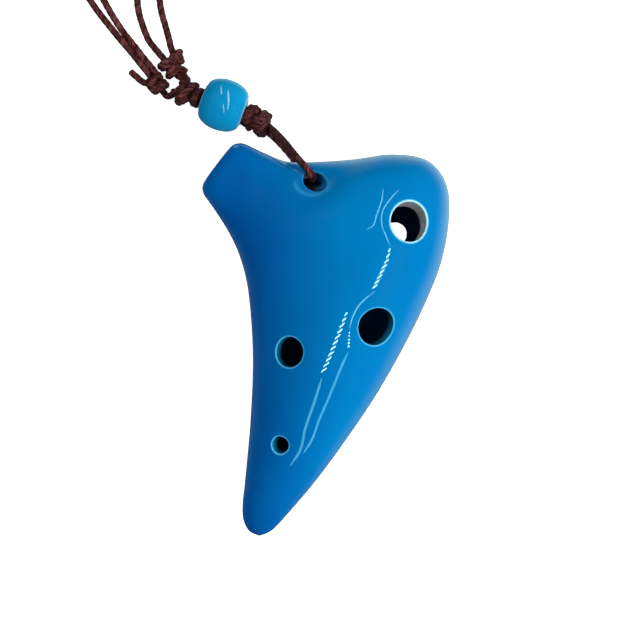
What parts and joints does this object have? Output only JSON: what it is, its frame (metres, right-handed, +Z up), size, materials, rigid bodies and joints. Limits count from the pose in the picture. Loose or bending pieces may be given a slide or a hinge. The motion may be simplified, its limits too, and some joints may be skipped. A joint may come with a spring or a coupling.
{
  "type": "ocarina",
  "caption": "Small glazed ceramic ocarina shaped like a curved cone, with finger holes, a flattened mouthpiece and a beaded, adjustable waxed neck cord.",
  "frame": {"origin": "centre of the ceramic body's box, on the surface it rests on", "axes": "+Y from the tail towards the mouthpiece end, +X towards the large finger holes, +Z up out of the finger-hole face"},
  "size_m": [0.0942, 0.1628, 0.0332],
  "materials": {
    "blue_glaze": "glossy",
    "sky_glaze": "glossy",
    "bare_clay": "matte",
    "waxed_cord": "waxed",
    "thread": "matte"
  },
  "bodies": {
    "instrument": {"front_shell": "blue_glaze", "back_shell": "blue_glaze", "fipple_block": "bare_clay", "lower_bead_knot": "waxed_cord", "upper_bead_knot": "waxed_cord", "hanger_cord": "waxed_cord", "left_cord_in_bead": "waxed_cord", "right_cord_in_bead": "waxed_cord", "left_neck_cord": "waxed_cord", "right_neck_cord": "waxed_cord", "left_return_cord": "waxed_cord", "right_return_cord": "waxed_cord", "neck_cord_coil": "waxed_cord", "coil_tie": "thread"},
    "bead": {"cord_bead": "sky_glaze"},
    "left_knot": {"left_sliding_knot": "waxed_cord", "left_knot_tail": "waxed_cord"},
    "right_knot": {"right_sliding_knot": "waxed_cord", "right_knot_tail": "waxed_cord"}
  },
  "joints": [
    {"name": "bead_spin", "type": "hinge", "parent": "instrument", "child": "bead", "pos_m": [-0.0251, 0.0574, 0.0064], "axis": [0.9336, -0.3584, 0], "continuous": true},
    {"name": "left_knot_slide", "type": "slide", "parent": "instrument", "child": "left_knot", "axis": [-0.627, 0.779, 0], "range_m": [0, 0.008], "deforming": ["left_return_cord"]},
    {"name": "right_knot_slide", "type": "slide", "parent": "instrument", "child": "right_knot", "axis": [-0.6342, 0.7732, 0], "range_m": [0, 0.005], "deforming": ["right_return_cord"]}
  ]
}
